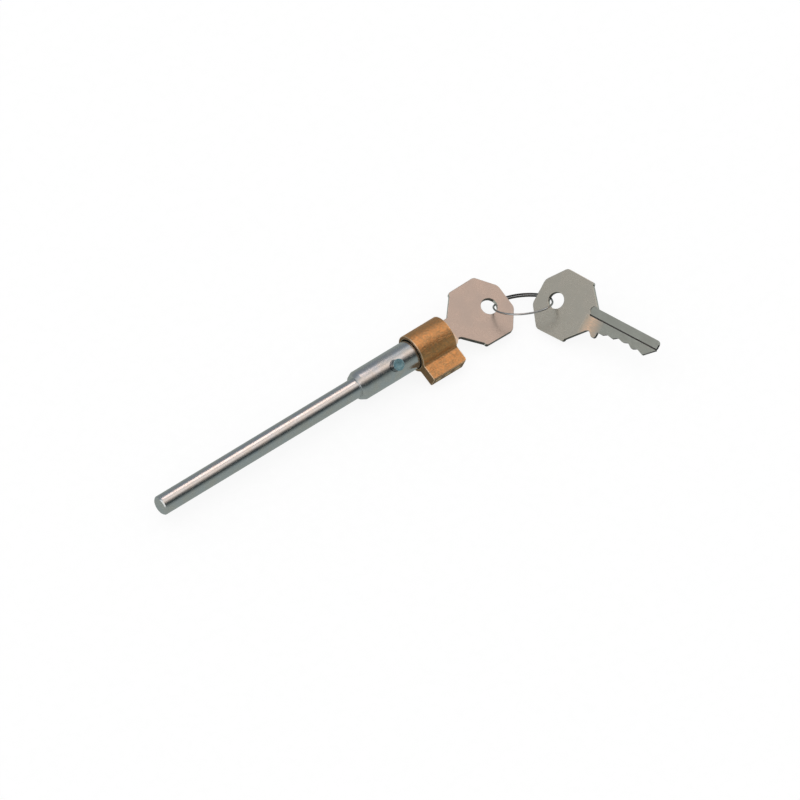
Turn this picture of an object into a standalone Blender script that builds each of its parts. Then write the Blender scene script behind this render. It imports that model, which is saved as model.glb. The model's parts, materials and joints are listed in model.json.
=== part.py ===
"""Hitch pin lock: a stepped steel pin turned by a small brass pin-tumbler lock, with two keys on a ring.

Metres, +Z up. The pin's axis is +X, from the centre of its free end (the origin) towards the lock.
The assembly lies on its side: the housing rests on its round flank and on a corner of its ear.
Sizes below are in millimetres and are multiplied by MM where they meet Blender.
"""
import math

import bmesh
import bpy
from mathutils import Euler, Matrix, Vector

MM = 0.001

# Steel pin: a thin rod that steps up to a hollow barrel.
ROD_R = 4.0
BARREL_R = 6.0
SHOULDER_R = 5.0
SHOULDER_X = 96.2
SHOULDER_CHAMFER = 2.0
TIP_CHAMFER = 0.6
BARREL_BORE_R = 5.25
BARREL_BORE_X = 108.5
BARREL_END_X = 124.6

# Brass housing: a round body with an ear along one side.
HOUSING_X0 = 123.8
HOUSING_X1 = 140.2
HOUSING_R = 7.65
EAR_REACH = 14.2
EAR_HALF = 2.65
EAR_CORNER_R = 0.55
EAR_FRONT_R = 1.2
EAR_FILLET_R = 1.4
EAR_BELOW_LEVEL = 21.4
HOUSING_EDGE = 0.3
REAR_BORE_R = 6.5
REAR_BORE_DEPTH = 1.15
PLUG_BORE_R = 5.6
FRONT_BORE_R = 6.55
FRONT_BORE_DEPTH = 1.2

# Plug: front flange, body in the housing, shank in the barrel.
PLUG_R = 5.5
FLANGE_R = 6.4
FLANGE_X = 139.15
SHANK_R = 5.15
SHANK_X0 = 108.8
SHANK_X1 = 125.05
KEYWAY_X0 = 114.3
KEYWAY_HALF = 1.15
KEYWAY_SPINE = 4.85
KEYWAY_BIT = 3.95

# Pin stacks, measured out from the pin's axis towards the end of the ear.
STACKS = 3
CUT_FIRST = 4.3
CUT_PITCH = 4.65
STACK_BORE_R = 1.35
STACK_PIN_R = 1.25
KEY_PIN_SPAN = (3.82, 5.42)
DRIVER_SPAN = (5.75, 9.4)
SPRING_SPAN = (9.55, 12.95)
CAP_SPAN = (13.1, 14.1)
SPRING_R = 1.02
SPRING_WIRE_R = 0.14
SPRING_TURNS = 4.5

# Locking stud: flat-ended, across the barrel wall into the plug's shank.
STUD_R = 2.35
STUD_X = 112.9
STUD_INNER = 3.2
STUD_OUTER = 9.2
STUD_CHAMFER = 0.2
STUD_FROM_EAR = 70.0
FIT_GAP = 0.1

# Keys, from the centre of the bow's hole towards the tip (x) and the cut edge (y).
KEY_HALF = 1.0
HOLE_R = 3.3
BOW_CORNERS = ((17.3, 4.8), (10.9, 12.8), (-1.96, 13.0), (-8.3, 5.25))
BOW_ROUND = 1.2
STOP_X = 21.9
STOP_REACH = 6.2
STOP_R = 1.1
STOP_FOOT = (18.3, 4.4)
SPINE_Y = -4.7
TIP_X = 47.5
TIP_ROUND = 1.6
CREST_Y = 3.6
CUT_FLAT = 0.9
CUT_DEPTHS = (0.95, 1.75, 1.85, 1.45)
CREST_DROPS = (0.0, 0.55, 1.25, 0.6, 0.5)
TIP_RAMP_X = 43.2
TIP_NOSE_Y = -0.8
KEY_EDGE = 0.12
RECESS_X = 16.9
RECESS_END_R = 2.1
RECESS_Y = -1.5
RECESS_DEPTH = 0.3
GROOVE_Y = -1.2
GROOVE_HALF = 0.3
GROOVE_END_R = 0.35
GROOVE_DEPTH = 0.65
GROOVE_X = 15.9
PLAIN_SIDE_X = 21.2

# Split ring, and how it and the spare key lie (degrees).
RING_R = 11.4
WIRE_R = 0.38
TURN_SPACING = 0.86
RING_HEADING = -35.3
RING_PITCH = 3.6
RING_ROLL = -29.4
OVERLAP = (25.0, 155.0)
RING_STEP = 10.0
HOLE_OFFSET = 1.9
SPARE_HEADING = -77.0
SPARE_PITCH = 3.0
SPARE_ROLL = -144.0

ROUND_STEPS = 48
SMALL_STEPS = 20
WELD = 1e-7
SMOOTH_ANGLE = math.radians(32)

ZINC = ((0.60, 0.64, 0.68), 1.0, 0.32)
BRASS = ((0.72, 0.45, 0.19), 1.0, 0.45)
STEEL = ((0.52, 0.54, 0.56), 1.0, 0.30)
NICKEL_WARM = ((0.70, 0.61, 0.55), 1.0, 0.42)
NICKEL_GREY = ((0.56, 0.55, 0.51), 1.0, 0.42)
SPRING_STEEL = ((0.42, 0.44, 0.46), 1.0, 0.28)


def clear_scene():
    for item in list(bpy.data.objects):
        bpy.data.objects.remove(item, do_unlink=True)


def new_collection(name):
    group = bpy.data.collections.new(name)
    bpy.context.scene.collection.children.link(group)
    return group


def new_empty(name, place, parent=None):
    empty = bpy.data.objects.new(name, None)
    bpy.context.scene.collection.objects.link(empty)
    empty.parent = parent
    empty.matrix_local = place
    return empty


def new_material(name, look):
    colour, metallic, roughness = look
    surface = bpy.data.materials.new(name)
    surface.use_nodes = True
    shader = surface.node_tree.nodes["Principled BSDF"]
    shader.inputs["Base Color"].default_value = (*colour, 1.0)
    shader.inputs["Metallic"].default_value = metallic
    shader.inputs["Roughness"].default_value = roughness
    return surface


def put(name, mesh, look, group, parent, place):
    """Add one sub-part with its own material, placed in its parent's frame."""
    part = bpy.data.objects.new(name, mesh)
    mesh.materials.clear()
    mesh.materials.append(new_material(name, look))
    group.objects.link(part)
    part.parent = parent
    part.matrix_local = place
    return part


def put_cutter(name, mesh, group, parent, place):
    cutter = bpy.data.objects.new(name, mesh)
    group.objects.link(cutter)
    cutter.parent = parent
    cutter.matrix_local = place
    cutter.hide_render = True
    cutter.display_type = "WIRE"
    return cutter


def cut(part, cutter):
    step = part.modifiers.new("cut_" + cutter.name, "BOOLEAN")
    step.operation = "DIFFERENCE"
    step.solver = "EXACT"
    step.object = cutter


def bake(shape):
    """Make a welded, smooth-shaded mesh from a curve or a mesh with modifiers, and drop the object."""
    bpy.context.scene.collection.objects.link(shape)
    graph = bpy.context.evaluated_depsgraph_get()
    mesh = bpy.data.meshes.new_from_object(shape.evaluated_get(graph))
    bpy.data.objects.remove(shape, do_unlink=True)
    work = bmesh.new()
    work.from_mesh(mesh)
    bmesh.ops.remove_doubles(work, verts=work.verts, dist=WELD)
    bmesh.ops.recalc_face_normals(work, faces=work.faces)
    work.to_mesh(mesh)
    work.free()
    mesh.shade_smooth()
    mesh.set_sharp_from_angle(angle=SMOOTH_ANGLE)
    return mesh


def turned_mesh(profile, steps=ROUND_STEPS):
    """Turn a profile of (radius, height) points about Z; its outer side runs from top to bottom."""
    mesh = bpy.data.meshes.new("profile")
    points = [(radius * MM, 0.0, height * MM) for radius, height in profile]
    edges = [(i, i + 1) for i in range(len(points) - 1)]
    mesh.from_pydata(points, edges, [])
    shape = bpy.data.objects.new("profile", mesh)
    screw = shape.modifiers.new("turn", "SCREW")
    screw.axis = "Z"
    screw.angle = math.tau
    screw.steps = steps
    screw.render_steps = steps
    screw.use_merge_vertices = True
    screw.merge_threshold = 1e-6
    return bake(shape)


def flat_mesh(outlines, half, edge):
    """Extrude closed outlines (the later ones are holes) by half to each side, with soft edges."""
    curve = bpy.data.curves.new("outline", "CURVE")
    curve.dimensions = "2D"
    curve.fill_mode = "BOTH"
    curve.extrude = (half - edge) * MM
    curve.bevel_depth = edge * MM
    curve.bevel_resolution = 1
    curve.offset = -edge * MM
    for outline in outlines:
        spline = curve.splines.new("POLY")
        spline.points.add(len(outline) - 1)
        for point, (x, y) in zip(spline.points, outline):
            point.co = (x * MM, y * MM, 0.0, 1.0)
        spline.use_cyclic_u = True
    return bake(bpy.data.objects.new("outline", curve))


def wire_mesh(points, radius):
    """Sweep a round wire along a list of points in millimetres."""
    curve = bpy.data.curves.new("wire", "CURVE")
    curve.dimensions = "3D"
    curve.bevel_depth = radius * MM
    curve.bevel_resolution = 2
    curve.use_fill_caps = True
    spline = curve.splines.new("POLY")
    spline.points.add(len(points) - 1)
    for point, place in zip(spline.points, points):
        point.co = (*(place * MM), 1.0)
    return bake(bpy.data.objects.new("wire", curve))


def box_mesh(low, high):
    mesh = bpy.data.meshes.new("box")
    work = bmesh.new()
    bmesh.ops.create_cube(work, size=1.0)
    size = [high[i] - low[i] for i in range(3)]
    centre = [(high[i] + low[i]) / 2 for i in range(3)]
    bmesh.ops.scale(work, vec=[s * MM for s in size], verts=work.verts)
    bmesh.ops.translate(work, vec=[c * MM for c in centre], verts=work.verts)
    work.to_mesh(mesh)
    work.free()
    return mesh


def cylinder_mesh(radius, low, high, steps=ROUND_STEPS):
    return turned_mesh(((0, high), (radius, high), (radius, low), (0, low)), steps)


def arc(cx, cy, radius, start, end, count):
    """Points along an arc, from start to end degrees, both included."""
    angles = [math.radians(start + (end - start) * i / count) for i in range(count + 1)]
    return [(cx + radius * math.cos(a), cy + radius * math.sin(a)) for a in angles]


def rounded(corners, radius, count=4):
    """Replace each corner of a closed outline with a short curve that leaves it radius away."""
    points = []
    for i, corner in enumerate(corners):
        here = Vector(corner)
        before = (Vector(corners[i - 1]) - here).normalized() * radius
        after = (Vector(corners[(i + 1) % len(corners)]) - here).normalized() * radius
        for step in range(count + 1):
            t = step / count
            points.append(tuple(here + before * (1 - t) ** 2 + after * t ** 2))
    return points


def along_axis(x=0.0):
    """Frame whose Z runs along the pin's axis and whose X points to the ear."""
    return Matrix.Translation((x * MM, 0, 0)) @ Euler((0, math.pi / 2, 0)).to_matrix().to_4x4()


def outward(x, degrees_from_ear=0.0):
    """Frame at x on the axis whose Z points outward, at an angle back from the ear."""
    turn = math.radians(180 - degrees_from_ear)
    return Matrix.Translation((x * MM, 0, 0)) @ Matrix.Rotation(turn, 4, "X")


def facing(heading, pitch, roll, centre):
    """World frame at centre (mm) whose X has this heading and pitch, then rolled about X."""
    spin = Matrix.Rotation(math.radians(heading), 4, "Z")
    tip = Matrix.Rotation(math.radians(-pitch), 4, "Y")
    lean = Matrix.Rotation(math.radians(roll), 4, "X")
    return Matrix.Translation(centre * MM) @ spin @ tip @ lean


def stack_positions():
    return [HOUSING_X1 - CUT_FIRST - CUT_PITCH * i for i in range(STACKS)]


def make_steel_pin(parts, cutters, frame):
    profile = (
        (0, BARREL_BORE_X), (BARREL_BORE_R, BARREL_BORE_X), (BARREL_BORE_R, BARREL_END_X),
        (BARREL_R, BARREL_END_X), (BARREL_R, SHOULDER_X + SHOULDER_CHAMFER),
        (SHOULDER_R, SHOULDER_X), (ROD_R, SHOULDER_X), (ROD_R, TIP_CHAMFER),
        (ROD_R - TIP_CHAMFER, 0), (0, 0))
    part = put("steel_pin", turned_mesh(profile), ZINC, parts, frame, along_axis())
    hole = cylinder_mesh(STUD_R + FIT_GAP, STUD_INNER - FIT_GAP * 3, STUD_OUTER, SMALL_STEPS * 2)
    cutter = put_cutter("stud_hole_cutter", hole, cutters, frame, outward(STUD_X, STUD_FROM_EAR))
    cut(part, cutter)
    return cutter


def make_stud(parts, frame):
    profile = (
        (0, STUD_OUTER), (STUD_R - STUD_CHAMFER, STUD_OUTER), (STUD_R, STUD_OUTER - STUD_CHAMFER),
        (STUD_R, STUD_INNER), (0, STUD_INNER))
    mesh = turned_mesh(profile, SMALL_STEPS * 2)
    put("locking_stud", mesh, STEEL, parts, frame, outward(STUD_X, STUD_FROM_EAR))


def housing_outline():
    """Round body and ear in one outline, ear towards +X, with fillets where they meet."""
    fillet_y = EAR_HALF + EAR_FILLET_R
    fillet_x = math.sqrt((HOUSING_R + EAR_FILLET_R) ** 2 - fillet_y ** 2)
    meet = math.degrees(math.atan2(fillet_y, fillet_x))
    upper = arc(fillet_x, fillet_y, EAR_FILLET_R, 180 + meet, 270, 5)
    corner_x = EAR_REACH - EAR_CORNER_R
    corner = arc(corner_x, EAR_HALF - EAR_CORNER_R, EAR_CORNER_R, 90, 0, 3)
    top_side = upper + corner
    bottom_side = [(x, -y) for x, y in reversed(top_side)]
    body = arc(0, 0, HOUSING_R, -meet, meet - 360, 36)
    return top_side + bottom_side + body[1:-1]


def ear_corner_mesh():
    """Waste outside the rounded far corner of the ear, at the front face; X along the axis, Y to the ear."""
    centre_x = HOUSING_X1 - EAR_FRONT_R
    centre_y = EAR_REACH - EAR_FRONT_R
    past = 1.0
    outside = [
        (centre_x, EAR_REACH + past), (HOUSING_X1 + past, EAR_REACH + past),
        (HOUSING_X1 + past, centre_y)]
    return flat_mesh([arc(centre_x, centre_y, EAR_FRONT_R, 0, 90, 6) + outside], EAR_HALF + past, 0.0)


def make_housing(parts, cutters, frame):
    length = HOUSING_X1 - HOUSING_X0
    mesh = flat_mesh([housing_outline()], length / 2, HOUSING_EDGE)
    part = put("lock_housing", mesh, BRASS, parts, frame, along_axis((HOUSING_X0 + HOUSING_X1) / 2))
    front = HOUSING_X1 - FRONT_BORE_DEPTH
    rear = HOUSING_X0 + REAR_BORE_DEPTH
    over = 2.0
    bore = (
        (0, HOUSING_X1 + over), (FRONT_BORE_R, HOUSING_X1 + over), (FRONT_BORE_R, front),
        (PLUG_BORE_R, front), (PLUG_BORE_R, rear), (REAR_BORE_R, rear),
        (REAR_BORE_R, HOUSING_X0 - over), (0, HOUSING_X0 - over))
    cut(part, put_cutter("bore_cutter", turned_mesh(bore), cutters, frame, along_axis()))
    side_on = Matrix(((1, 0, 0), (0, 0, 1), (0, -1, 0))).to_4x4()
    cut(part, put_cutter("ear_corner_cutter", ear_corner_mesh(), cutters, frame, side_on))
    for number, x in enumerate(stack_positions(), 1):
        hole = cylinder_mesh(STACK_BORE_R, PLUG_BORE_R - 1.0, EAR_REACH + over, SMALL_STEPS)
        cut(part, put_cutter(f"chamber_cutter_{number}", hole, cutters, frame, outward(x)))


def make_plug(parts, cutters, frame, stud_cutter):
    profile = (
        (0, HOUSING_X1), (FLANGE_R, HOUSING_X1), (FLANGE_R, FLANGE_X), (PLUG_R, FLANGE_X),
        (PLUG_R, SHANK_X1), (SHANK_R, SHANK_X1), (SHANK_R, SHANK_X0), (0, SHANK_X0))
    part = put("lock_plug", turned_mesh(profile), BRASS, parts, frame, along_axis())
    slot = box_mesh(
        (KEYWAY_X0, -KEYWAY_HALF, -KEYWAY_BIT), (HOUSING_X1 + 1, KEYWAY_HALF, KEYWAY_SPINE))
    cut(part, put_cutter("keyway_cutter", slot, cutters, frame, Matrix.Identity(4)))
    for number, x in enumerate(stack_positions(), 1):
        hole = cylinder_mesh(STACK_BORE_R, KEYWAY_BIT - 0.5, PLUG_R + 1, SMALL_STEPS)
        cut(part, put_cutter(f"pin_hole_cutter_{number}", hole, cutters, frame, outward(x)))
    cut(part, stud_cutter)


def make_stacks(parts, frame):
    """Key pin, driver pin, spring and chamber cap, in line, for each chamber."""
    for number, x in enumerate(stack_positions(), 1):
        low, high = KEY_PIN_SPAN
        nose = ((0, high), (STACK_PIN_R, high), (STACK_PIN_R, low + 0.5), (0.6, low), (0, low))
        put(f"key_pin_{number}", turned_mesh(nose, SMALL_STEPS), BRASS, parts, frame, outward(x))
        driver = cylinder_mesh(STACK_PIN_R, *DRIVER_SPAN, SMALL_STEPS)
        put(f"driver_pin_{number}", driver, STEEL, parts, frame, outward(x))
        spring = wire_mesh(spring_points(), SPRING_WIRE_R)
        put(f"driver_spring_{number}", spring, SPRING_STEEL, parts, frame, outward(x))
        cap = cylinder_mesh(STACK_PIN_R + 0.03, *CAP_SPAN, SMALL_STEPS)
        put(f"chamber_cap_{number}", cap, BRASS, parts, frame, outward(x))


def spring_points():
    low, high = SPRING_SPAN
    count = int(SPRING_TURNS * 10)
    rise = high - low - 2 * SPRING_WIRE_R
    points = []
    for i in range(count + 1):
        t = i / count
        angle = math.tau * SPRING_TURNS * t
        height = low + SPRING_WIRE_R + rise * t
        points.append(Vector((SPRING_R * math.cos(angle), SPRING_R * math.sin(angle), height)))
    return points


def cut_edge():
    """The bitted edge of the blade, from the stop to the foot of the tip's ramp."""
    points = []
    for i, depth in enumerate(CUT_DEPTHS):
        middle = STOP_X + CUT_FIRST + CUT_PITCH * i
        crest = CREST_Y - CREST_DROPS[i]
        floor = CREST_Y - depth
        points.append((middle - CUT_PITCH / 2 + 0.15, crest))
        points.append((middle - CUT_FLAT / 2, floor))
        points.append((middle + CUT_FLAT / 2, floor))
    points.append((TIP_RAMP_X, CREST_Y - CREST_DROPS[-1]))
    return points


def key_outline():
    bow_low = [(x, -y) for x, y in BOW_CORNERS]
    bow_high = list(reversed(BOW_CORNERS))
    bow = rounded(bow_low[1:] + bow_high[:-1], BOW_ROUND)
    neck_low = bow_low[0]
    neck_high = bow_high[-1]
    nub_centre = STOP_X - STOP_R
    nub = arc(nub_centre, STOP_REACH - STOP_R, STOP_R, 150, 0, 6)
    nose = arc(TIP_X - TIP_ROUND, SPINE_Y + TIP_ROUND, TIP_ROUND, 0, -90, 4)
    after_stop = [STOP_FOOT] + nub + [(STOP_X, CREST_Y)]
    blade = cut_edge() + [(TIP_X, TIP_NOSE_Y)] + nose
    return bow + [neck_high] + after_stop + blade + [(neck_low[0], SPINE_Y)]


def key_mesh():
    return flat_mesh([key_outline(), arc(0, 0, HOLE_R, 0, 345, 23)], KEY_HALF, KEY_EDGE)


def milled_strip(start, end_radius, low, high):
    """Outline of a strip milled along the blade, with a round end where the cutter stopped."""
    middle = (low + high) / 2
    half = (high - low) / 2
    reach = math.degrees(math.asin(half / end_radius))
    round_end = arc(start, middle, end_radius, 180 + reach, 180 - reach, 8)
    return round_end + [(TIP_X + 1, high), (TIP_X + 1, low)]


def make_key(name, look, parts, cutters, parent, place):
    """The strips start in the bow on the back, and at the stop on the front."""
    part = put(name, key_mesh(), look, parts, parent, place)
    past = 1.0
    for side, sign, set_back in (("front", 1, PLAIN_SIDE_X - RECESS_X), ("back", -1, 0)):
        recess = milled_strip(RECESS_X + set_back, RECESS_END_R, SPINE_Y - 0.3, RECESS_Y)
        groove = milled_strip(
            GROOVE_X + set_back, GROOVE_END_R, GROOVE_Y - GROOVE_HALF, GROOVE_Y + GROOVE_HALF)
        for kind, outline, depth in (("recess", recess, RECESS_DEPTH), ("groove", groove, GROOVE_DEPTH)):
            height = sign * (KEY_HALF - depth + past) * MM
            cutter_place = place @ Matrix.Translation((0, 0, height))
            cutter = put_cutter(
                f"{name}_{side}_{kind}", flat_mesh([outline], past, 0), cutters, parent, cutter_place)
            cut(part, cutter)


def ring_points():
    """One turn and a third: the wire's ends lie side by side along the overlap, level elsewhere."""
    start, end = OVERLAP
    last = end + 360
    count = round((last - start) / RING_STEP)
    points = []
    for i in range(count + 1):
        angle = start + (last - start) * i / count
        dip = min(max((180 - angle) / (180 - end), 0.0), 1.0)
        rise = min(max((angle - 360) / start, 0.0), 1.0)
        level = TURN_SPACING / 2 * (eased(rise) - eased(dip))
        turn = math.radians(angle)
        points.append(Vector((RING_R * math.cos(turn), RING_R * math.sin(turn), level)))
    return points


def eased(t):
    return t * t * (3 - 2 * t)


def wire_from_hole(direction, key_place):
    """Where the ring's wire crosses a key's middle plane, seen from the centre of its hole."""
    normal = key_place.to_3x3().col[2].normalized()
    return (direction - direction.dot(normal) * normal).normalized() * HOLE_OFFSET


def make_ring_and_spare(parts, cutters, key_place):
    ring_turn = facing(RING_HEADING, RING_PITCH, RING_ROLL, Vector((0, 0, 0)))
    ring_x = ring_turn.to_3x3().col[0].normalized()
    near = key_place.translation / MM + wire_from_hole(ring_x, key_place)
    far = near + ring_x * 2 * RING_R
    ring_joint = new_empty("ring_joint", Matrix.Translation(near * MM) @ ring_turn)
    wire = wire_mesh([p + Vector((RING_R, 0, 0)) for p in ring_points()], WIRE_R)
    put("split_ring", wire, SPRING_STEEL, parts, ring_joint, Matrix.Identity(4))
    spare_joint = new_empty("spare_key_joint", Matrix.Translation(far * MM))
    spare_turn = facing(SPARE_HEADING, SPARE_PITCH, SPARE_ROLL, Vector((0, 0, 0)))
    second_hole = -wire_from_hole(-ring_x, spare_turn)
    place = Matrix.Translation(second_hole * MM) @ spare_turn
    make_key("spare_key", NICKEL_GREY, parts, cutters, spare_joint, place)


def main():
    clear_scene()
    parts = new_collection("hitch_pin_lock")
    cutters = new_collection("cutters")
    roll = Matrix.Rotation(math.radians(EAR_BELOW_LEVEL - 90), 4, "X")
    lock = new_empty("lock_axis", roll)
    stud_cutter = make_steel_pin(parts, cutters, lock)
    make_stud(parts, lock)
    make_housing(parts, cutters, lock)
    make_plug(parts, cutters, lock, stud_cutter)
    make_stacks(parts, lock)
    hole_x = HOUSING_X1 + FIT_GAP + STOP_X
    key_turn = Matrix(((-1, 0, 0), (0, 0, -1), (0, -1, 0))).to_4x4()
    key_place = Matrix.Translation((hole_x * MM, 0, 0)) @ key_turn
    make_key("key_in_lock", NICKEL_WARM, parts, cutters, lock, key_place)
    make_ring_and_spare(parts, cutters, roll @ key_place)


main()
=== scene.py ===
"""Looks of the hitch pin lock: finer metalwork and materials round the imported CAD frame.

World space is in metres, +Z up, with the steel pin's free end at the origin and its axis along +X.
Sizes below are in millimetres, the same as the CAD's, and are multiplied by MM where they meet
Blender. Studio and camera sizes are in metres.
"""
import json
import math

import bmesh
import bpy
from mathutils import Matrix, Vector


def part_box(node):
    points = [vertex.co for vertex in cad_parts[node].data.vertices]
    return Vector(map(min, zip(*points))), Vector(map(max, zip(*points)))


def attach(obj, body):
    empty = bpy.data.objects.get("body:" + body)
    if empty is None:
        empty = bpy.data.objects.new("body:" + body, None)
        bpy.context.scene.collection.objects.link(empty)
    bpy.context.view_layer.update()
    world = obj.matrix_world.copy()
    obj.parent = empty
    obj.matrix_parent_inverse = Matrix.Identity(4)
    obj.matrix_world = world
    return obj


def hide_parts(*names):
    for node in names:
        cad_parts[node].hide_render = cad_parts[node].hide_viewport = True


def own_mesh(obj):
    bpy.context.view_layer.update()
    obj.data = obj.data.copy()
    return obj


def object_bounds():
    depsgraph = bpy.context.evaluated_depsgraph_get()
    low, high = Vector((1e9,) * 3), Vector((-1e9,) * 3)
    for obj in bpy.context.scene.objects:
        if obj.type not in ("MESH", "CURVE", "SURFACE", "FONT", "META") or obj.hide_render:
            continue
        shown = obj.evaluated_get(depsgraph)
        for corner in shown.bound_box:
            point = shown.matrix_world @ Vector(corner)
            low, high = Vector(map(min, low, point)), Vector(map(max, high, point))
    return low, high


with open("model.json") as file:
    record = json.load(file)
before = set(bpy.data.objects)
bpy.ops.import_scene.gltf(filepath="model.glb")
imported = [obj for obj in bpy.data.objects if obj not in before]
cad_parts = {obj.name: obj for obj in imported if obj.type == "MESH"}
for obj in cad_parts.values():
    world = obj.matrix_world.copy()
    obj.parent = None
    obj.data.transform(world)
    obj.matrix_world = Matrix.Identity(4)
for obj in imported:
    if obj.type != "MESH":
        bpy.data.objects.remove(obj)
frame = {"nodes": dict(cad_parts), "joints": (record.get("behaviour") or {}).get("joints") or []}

MM = 0.001
CAD_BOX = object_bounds()
FLOOR_Z = CAD_BOX[0].z
JOINTS = {joint["name"]: joint for joint in frame["joints"]}
EAR_DIRECTION = Vector(JOINTS["driver_lift_1"]["axis"])
KEY_FRONT_JOINT = Vector(JOINTS["ring_swing"]["pos_m"])
SPARE_JOINT = Vector(JOINTS["spare_swing"]["pos_m"])

# Steel pin
ROD_R = 4.0
BARREL_R = 6.0
SHOULDER_R = 5.0
SHOULDER_X = 96.2
SHOULDER_CHAMFER = 2.0
TIP_CHAMFER = 0.6
PIN_SOFTNESS = 0.16
BARREL_BORE_R = 5.25
BARREL_BORE_X = 108.5
BARREL_END_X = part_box("steel_pin")[1].x / MM

# Brass housing
HOUSING_X0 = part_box("lock_housing")[0].x / MM
HOUSING_X1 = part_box("lock_housing")[1].x / MM
HOUSING_R = 7.65
EAR_REACH = 14.2
EAR_HALF = 2.65
EAR_CORNER_R = 0.55
EAR_FILLET_R = 1.4
HOUSING_EDGE = 0.26
EAR_FRONT_R = 1.7
EAR_REAR_R = 0.4
REAR_BORE_R = 6.5
REAR_BORE_DEPTH = 1.15
PLUG_BORE_R = 5.6
FRONT_BORE_R = 6.55
FRONT_BORE_DEPTH = 1.2
FRONT_LIP = 0.22
STACK_BORE_R = 1.35
BORE_SLACK = 0.05
HOUSING_FLAT = 20

# Plug
PLUG_R = 5.5
FLANGE_R = 6.4
FLANGE_X = 139.15
SHANK_R = 5.15
SHANK_X0 = 108.8
SHANK_X1 = 125.05
KEYWAY_X0 = 114.3
KEYWAY_HALF = 1.15
KEYWAY_SPINE = 4.85
KEYWAY_BIT = 3.95
PLUG_SOFTNESS = 0.14
PLUG_DISH_SHARES = (0.86, 0.8)
PLUG_DISH_DEPTH = 0.18
PLUG_FLAT = 12

# Locking stud
STUD_R = 2.35
STUD_X = 112.9
STUD_INNER = 3.2
STUD_OUTER = 9.2
STUD_FROM_EAR = 70.0
STUD_SOFTNESS = 0.12
STUD_DISH_SHARES = (0.72, 0.3)
STUD_DISH_DEPTHS = (0.12, 0.2)
FIT_GAP = 0.1

# Springs of the pin stacks
SPRING_SPAN = (9.55, 12.95)
SPRING_R = 1.02
SPRING_WIRE_R = 0.14
SPRING_TURNS = 4.5
STEPS_PER_TURN = 24

# Keys: x from the centre of the bow's hole towards the tip, y towards the cut edge
KEY_HALF = 1.0
HOLE_R = 3.3
BOW_CORNERS = ((17.3, 4.8), (10.9, 12.8), (-1.96, 13.0), (-8.3, 5.25))
BOW_ROUND = 1.2
STOP_X = 21.9
STOP_REACH = 6.2
STOP_R = 1.1
STOP_FOOT = (18.3, 4.4)
SPINE_Y = -4.7
TIP_X = 47.5
TIP_ROUND = 1.6
CREST_Y = 3.6
CUT_FIRST = 4.3
CUT_PITCH = 4.65
CUT_FLAT = 0.9
CUT_DEPTHS = (0.95, 1.75, 1.85, 1.45)
CREST_DROPS = (0.0, 0.55, 1.25, 0.6, 0.5)
CREST_OFFSET = 0.15
CUT_SOFTNESS = 0.3
TIP_RAMP_X = 43.2
TIP_NOSE_Y = -0.8
KEY_EDGE = 0.14
RECESS_X = 16.9
RECESS_END_R = 2.1
RECESS_Y = -1.5
RECESS_DEPTH = 0.3
GROOVE_Y = -1.2
GROOVE_HALF = 0.3
GROOVE_DEPTH = 0.65
GROOVE_X = 15.9
GROOVE_END_R = 0.35
PLAIN_SIDE_X = 21.2
RAMP_BEFORE_GROOVE = 1.5
RAMP_LENGTH = 5.0
RAMP_DEPTH = 0.24
RAMP_STEPS = 14
KEY_SLACK = 0.02
KEY_FLAT = 2

# Split ring
RING_R = 11.4
WIRE_R = 0.38
TURN_SPACING = 0.86
RING_HEADING = -35.3
RING_PITCH = 3.6
RING_ROLL = -29.4
RING_STEPS = 240
OVERLAP = (25.0, 155.0)
OVERLAP_Y = 2.0
HOLE_OFFSET = 1.9
SPARE_HEADING = -77.0
SPARE_PITCH = 3.0
SPARE_ROLL = -144.0

# Mesh quality
ROUND_STEPS = 160
SMALL_STEPS = 72
WELD = 1e-7
SMOOTH_ANGLE = math.radians(30)
CUT_PAST = 1.0

# Metal: shares of the fine grain and the patches in its tone, gloss and relief
GRAIN_TONE = 0.22
GRAIN_DARKNESS = 0.55
GRAIN_GLOSS = 0.6
PATCH_GLOSS = 0.4
EDGE_POLISH = 0.12
SCRATCH_SIZE = 0.7
SCRATCH_RELIEF = -0.8
PIT_SIZE = 2.6
TINT_GRAIN = 0.7
TINT_LEVEL = 0.45

# Camera and light
VIEW_AZIMUTH = -39.2
VIEW_ELEVATION = 48.0
VIEW_TARGET = Vector((0.10783, -0.01284, -0.0040))
VIEW_DISTANCE = 12.0
VIEW_WIDTH = 0.3064
SENSOR = 36.0
FLOOR_SIZE = 12.0
TENT_RADIUS = 0.9
TENT_LENGTH = 2.6
DAYLIGHT = 1.08
PAPER_DIFFUSE = 0.12
PAPER_GLOW = 0.86
CARD_REACH = 0.30
CARD_ANGLES = (99.0, 122.0)
CARD_SPAN = (0.09, 0.212)
TABLE_LIFT = 0.02
CLIP = (0.01, 50.0)
TENT_STOPS = (
    (0.00, (0.30, 0.34, 0.335)), (0.06, (0.25, 0.29, 0.285)), (0.11, (0.17, 0.20, 0.20)),
    (0.155, (0.06, 0.075, 0.078)), (0.195, (0.010, 0.024, 0.030)), (0.235, (0.03, 0.04, 0.042)),
    (0.285, (0.15, 0.145, 0.14)), (0.335, (0.40, 0.35, 0.32)), (0.40, (1.05, 0.91, 0.84)),
    (0.46, (1.10, 0.96, 0.89)), (0.52, (0.76, 0.70, 0.67)), (0.575, (0.54, 0.54, 0.54)),
    (0.64, (0.68, 0.70, 0.73)), (0.67, (0.50, 0.53, 0.57)), (0.70, (0.30, 0.33, 0.37)),
    (0.78, (0.22, 0.25, 0.28)), (0.88, (0.23, 0.26, 0.28)), (1.00, (0.28, 0.30, 0.30)))
CARD_GLOW = (2.15, 1.68, 1.52)
TABLE_TONE = (0.315, 0.35, 0.335)


# ---------------------------------------------------------------- mesh code

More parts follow.
